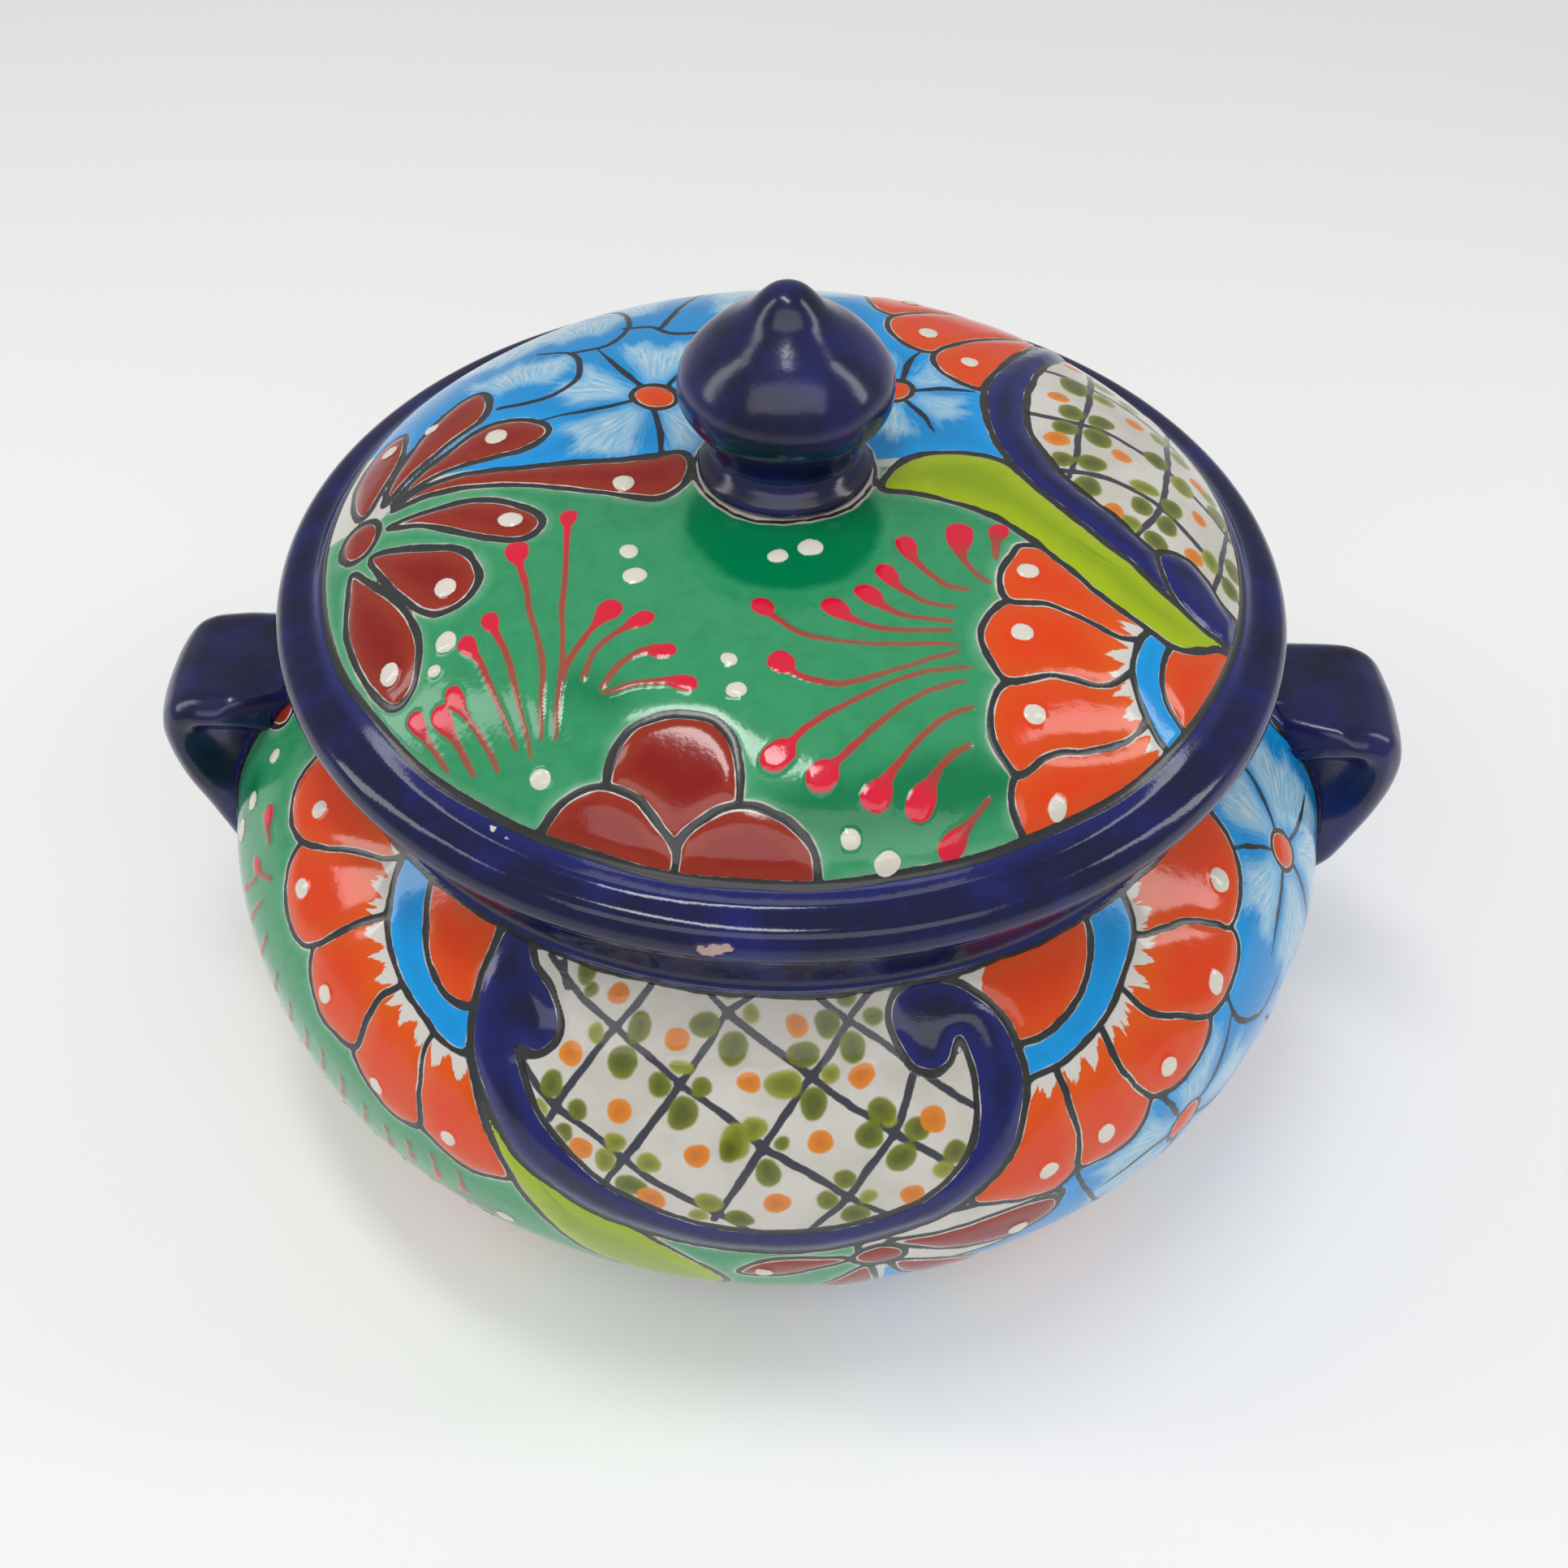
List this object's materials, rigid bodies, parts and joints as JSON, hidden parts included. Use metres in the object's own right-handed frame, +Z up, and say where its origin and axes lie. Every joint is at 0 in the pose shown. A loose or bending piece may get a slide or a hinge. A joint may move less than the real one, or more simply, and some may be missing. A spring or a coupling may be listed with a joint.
{
  "type": "lidded pot",
  "caption": "Squat round lidded earthenware pot with two lug handles and a domed lid with an onion knob, painted and clear glazed.",
  "frame": {"origin": "the table under the middle of the pot, at the bottom of its foot ring", "axes": "+Z up through the knob, +X along the line of the two lug handles towards the right-hand one, -Y towards the painted front"},
  "size_m": [0.3096, 0.2758, 0.2199],
  "materials": {
    "pot_glaze": "painted under a clear gloss glaze, cobalt collar",
    "left_lug_glaze": "dark cobalt gloss glaze",
    "right_lug_glaze": "dark cobalt gloss glaze",
    "lid_glaze": "painted under a clear gloss glaze, cobalt rolled rim",
    "knob_glaze": "dark cobalt gloss glaze"
  },
  "bodies": {
    "pot": {"pot_body": "pot_glaze", "left_handle": "left_lug_glaze", "right_handle": "right_lug_glaze"},
    "lid_body": {"lid": "lid_glaze", "lid_knob": "knob_glaze"}
  },
  "joints": [
    {"name": "lid_lift", "type": "slide", "parent": "pot", "child": "lid_body", "axis": [0, 0, 1], "range_m": [0, 0.12]}
  ]
}
